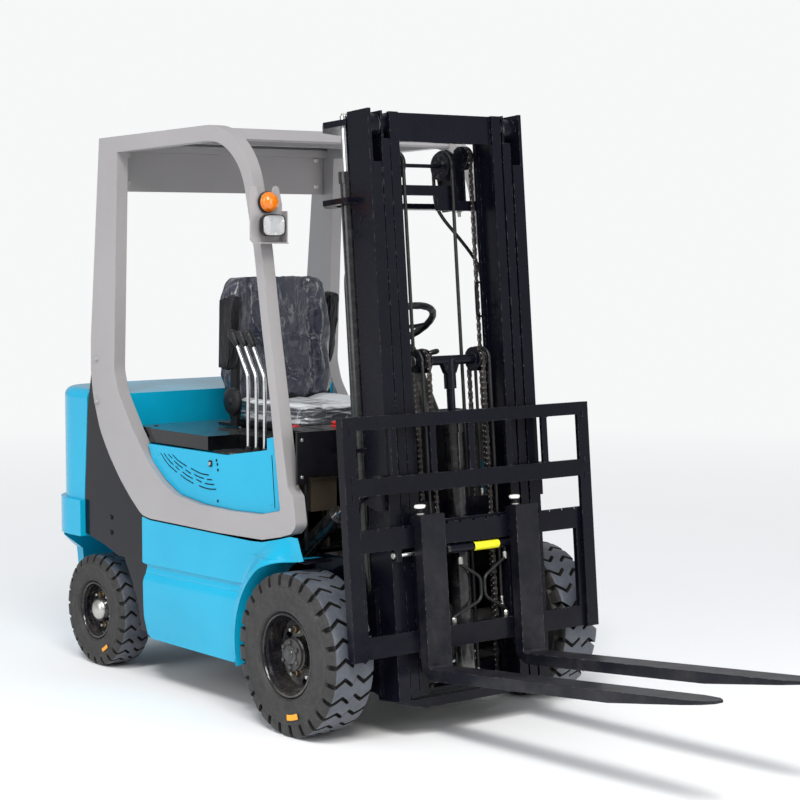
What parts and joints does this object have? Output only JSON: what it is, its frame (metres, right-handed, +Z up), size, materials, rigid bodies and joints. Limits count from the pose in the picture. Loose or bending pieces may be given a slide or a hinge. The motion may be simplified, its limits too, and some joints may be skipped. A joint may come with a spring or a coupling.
{
  "type": "forklift",
  "caption": "Electric counterbalance forklift with overhead guard, tilting full-free-lift mast, load backrest, side shift and sliding forks",
  "frame": {"origin": "centre of the bounding box footprint, on the floor", "axes": "+X forward toward the fork tips, +Y to the truck's left, +Z up"},
  "size_m": [3.4574, 1.251, 2.178],
  "materials": {
    "cyan_paint": "gloss paint",
    "guard_paint": "satin grey paint",
    "black_paint": "satin black paint",
    "mast_paint": "black paint, greased rails",
    "black_plastic": "textured",
    "tyre_rubber": "matt",
    "rim_paint": "worn grey paint",
    "seat_vinyl": "vinyl under film",
    "chrome_rod": "polished",
    "cylinder_paint": "gloss black",
    "chain_steel": "oiled",
    "fork_steel": "black paint, worn edges",
    "lamp_parts": "black shell, clear and amber lenses",
    "hose_rubber": "satin",
    "axle_iron": "painted",
    "pin_steel": "zinc"
  },
  "bodies": {
    "chassis": {"chassis_frame": "black_paint", "battery_block": "black_paint", "counterweight": "cyan_paint", "tow_pin": "pin_steel", "rear_corner_panels": "black_paint", "lower_side_panels": "cyan_paint", "upper_side_panels": "cyan_paint", "guard_side_frames": "guard_paint", "guard_roof": "guard_paint", "front_cowl": "black_plastic", "floor_and_pedals": "black_plastic", "steering_column": "black_plastic", "hydraulic_levers": "black_paint", "front_lamps": "lamp_parts", "front_axle": "axle_iron", "rear_axle": "axle_iron", "cowl_equipment": "black_plastic"},
    "hood": {"battery_hood": "black_plastic", "seat_base": "black_paint", "seat_cushion": "seat_vinyl", "seat_backrest": "seat_vinyl"},
    "steering_wheel": {"steering_wheel": "black_plastic"},
    "front_left_wheel": {"front_left_tyre": "tyre_rubber", "front_left_rim": "rim_paint"},
    "front_right_wheel": {"front_right_tyre": "tyre_rubber", "front_right_rim": "rim_paint"},
    "left_knuckle": {"left_knuckle": "axle_iron"},
    "right_knuckle": {"right_knuckle": "axle_iron"},
    "rear_left_wheel": {"rear_left_tyre": "tyre_rubber", "rear_left_rim": "rim_paint"},
    "rear_right_wheel": {"rear_right_tyre": "tyre_rubber", "rear_right_rim": "rim_paint"},
    "left_tie_link": {"left_tie_link": "pin_steel"},
    "right_tie_link": {"right_tie_link": "pin_steel"},
    "steer_cylinder_rod": {"steer_cylinder_rod": "chrome_rod"},
    "outer_mast": {"outer_mast": "mast_paint", "main_lift_barrels": "cylinder_paint", "main_chain_rear_runs": "chain_steel", "main_hose_rear_runs": "hose_rubber"},
    "intermediate_mast": {"intermediate_mast": "mast_paint", "main_lift_rods": "chrome_rod"},
    "inner_mast": {"inner_mast": "mast_paint", "free_lift_barrel": "cylinder_paint", "rear_lift_chains": "chain_steel", "main_chain_front_runs": "chain_steel", "main_hose_front_runs": "hose_rubber", "rear_lift_hoses": "hose_rubber"},
    "lift_crosshead": {"lift_crosshead": "chrome_rod"},
    "lift_carriage": {"lift_carriage": "mast_paint", "front_lift_chains": "chain_steel", "carriage_hoses": "hose_rubber", "front_lift_hoses": "hose_rubber"},
    "side_shift_frame": {"side_shift_frame": "mast_paint", "load_backrest": "mast_paint"},
    "left_fork": {"left_fork": "fork_steel"},
    "right_fork": {"right_fork": "fork_steel"},
    "left_tilt_barrel": {"left_tilt_barrel": "cylinder_paint"},
    "left_tilt_rod": {"left_tilt_rod": "chrome_rod"},
    "right_tilt_barrel": {"right_tilt_barrel": "cylinder_paint"},
    "right_tilt_rod": {"right_tilt_rod": "chrome_rod"}
  },
  "joints": [
    {"name": "front_left_wheel_spin", "type": "hinge", "parent": "chassis", "child": "front_left_wheel", "pos_m": [0.0813, 0.531, 0.288], "axis": [0, 1, 0], "continuous": true},
    {"name": "front_right_wheel_spin", "type": "hinge", "parent": "chassis", "child": "front_right_wheel", "pos_m": [0.0813, -0.531, 0.288], "axis": [0, 1, 0], "continuous": true},
    {"name": "left_knuckle_steer", "type": "hinge", "parent": "chassis", "child": "left_knuckle", "pos_m": [-1.3657, 0.338, 0.225], "axis": [0, 0, 1], "range_deg": [-72, 72]},
    {"name": "right_knuckle_steer", "type": "hinge", "parent": "chassis", "child": "right_knuckle", "pos_m": [-1.3657, -0.338, 0.225], "axis": [0, 0, 1], "range_deg": [-72, 72]},
    {"name": "rear_left_wheel_spin", "type": "hinge", "parent": "left_knuckle", "child": "rear_left_wheel", "pos_m": [-1.3657, 0.453, 0.225], "axis": [0, 1, 0], "continuous": true},
    {"name": "rear_right_wheel_spin", "type": "hinge", "parent": "right_knuckle", "child": "rear_right_wheel", "pos_m": [-1.3657, -0.453, 0.225], "axis": [0, 1, 0], "continuous": true},
    {"name": "left_tie_link_pivot", "type": "hinge", "parent": "left_knuckle", "child": "left_tie_link", "pos_m": [-1.4157, 0.338, 0.3], "axis": [0, 0, 1], "range_deg": [-72, 72]},
    {"name": "right_tie_link_pivot", "type": "hinge", "parent": "right_knuckle", "child": "right_tie_link", "pos_m": [-1.4157, -0.338, 0.3], "axis": [0, 0, 1], "range_deg": [-72, 72]},
    {"name": "steer_cylinder_stroke", "type": "slide", "parent": "chassis", "child": "steer_cylinder_rod", "axis": [0, 1, 0], "range_m": [-0.048, 0.048]},
    {"name": "steering_wheel_turn", "type": "hinge", "parent": "chassis", "child": "steering_wheel", "pos_m": [-0.0887, 0, 1.408], "axis": [-0.53, 0, 0.848], "range_deg": [-800, 800]},
    {"name": "hood_hinge", "type": "hinge", "parent": "chassis", "child": "hood", "pos_m": [-1.1027, 0, 0.986], "axis": [0, -1, 0], "range_deg": [0, 50]},
    {"name": "mast_tilt", "type": "hinge", "parent": "chassis", "child": "outer_mast", "pos_m": [0.0813, 0, 0.288], "axis": [0, 1, 0], "range_deg": [-0.77, 11.23]},
    {"name": "left_tilt_barrel_pivot", "type": "hinge", "parent": "chassis", "child": "left_tilt_barrel", "pos_m": [-0.1587, 0.4, 0.57], "axis": [0, 1, 0], "range_deg": [-0.74, 10.19]},
    {"name": "left_tilt_stroke", "type": "slide", "parent": "left_tilt_barrel", "child": "left_tilt_rod", "axis": [0.7974, 0, 0.6034], "range_m": [-0.00543, 0.07237]},
    {"name": "right_tilt_barrel_pivot", "type": "hinge", "parent": "chassis", "child": "right_tilt_barrel", "pos_m": [-0.1587, -0.4, 0.57], "axis": [0, 1, 0], "range_deg": [-0.74, 10.19]},
    {"name": "right_tilt_stroke", "type": "slide", "parent": "right_tilt_barrel", "child": "right_tilt_rod", "axis": [0.7974, 0, 0.6034], "range_m": [-0.00543, 0.07237]},
    {"name": "mast_lift", "type": "slide", "parent": "outer_mast", "child": "intermediate_mast", "axis": [-0.0911, 0, 0.9958], "range_m": [0, 1.38], "deforming": ["main_chain_rear_runs", "main_hose_rear_runs"]},
    {"name": "inner_mast_lift", "type": "slide", "parent": "intermediate_mast", "child": "inner_mast", "axis": [-0.0911, 0, 0.9958], "range_m": [0, 1.38], "deforming": ["main_chain_front_runs", "main_hose_front_runs"]},
    {"name": "crosshead_free_lift", "type": "slide", "parent": "inner_mast", "child": "lift_crosshead", "axis": [-0.0911, 0, 0.9958], "range_m": [-0.07, 0.67], "deforming": ["rear_lift_chains", "rear_lift_hoses"]},
    {"name": "carriage_lift", "type": "slide", "parent": "lift_crosshead", "child": "lift_carriage", "axis": [-0.0911, 0, 0.9958], "range_m": [-0.07, 0.67], "deforming": ["front_lift_chains", "front_lift_hoses"]},
    {"name": "side_shift", "type": "slide", "parent": "lift_carriage", "child": "side_shift_frame", "axis": [0, 1, 0], "range_m": [-0.1, 0.1]},
    {"name": "left_fork_slide", "type": "slide", "parent": "side_shift_frame", "child": "left_fork", "axis": [0, 1, 0], "range_m": [-0.14, 0.24]},
    {"name": "right_fork_slide", "type": "slide", "parent": "side_shift_frame", "child": "right_fork", "axis": [0, 1, 0], "range_m": [-0.24, 0.14]}
  ],
  "couplings": [
    {"joint": "right_knuckle_steer", "follows": "left_knuckle_steer", "ratio": 1},
    {"joint": "left_tie_link_pivot", "follows": "left_knuckle_steer", "ratio": -1},
    {"joint": "right_tie_link_pivot", "follows": "left_knuckle_steer", "ratio": -1},
    {"joint": "steer_cylinder_stroke", "follows": "left_knuckle_steer", "m_per_rad": -0.037841},
    {"joint": "steering_wheel_turn", "follows": "left_knuckle_steer", "ratio": -11},
    {"joint": "left_tilt_barrel_pivot", "follows": "mast_tilt", "ratio": 0.90294},
    {"joint": "right_tilt_barrel_pivot", "follows": "mast_tilt", "ratio": 0.90294},
    {"joint": "left_tilt_stroke", "follows": "mast_tilt", "m_per_rad": 0.36671},
    {"joint": "right_tilt_stroke", "follows": "mast_tilt", "m_per_rad": 0.36671},
    {"joint": "inner_mast_lift", "follows": "mast_lift", "ratio": 1},
    {"joint": "crosshead_free_lift", "follows": "carriage_lift", "ratio": 1}
  ]
}
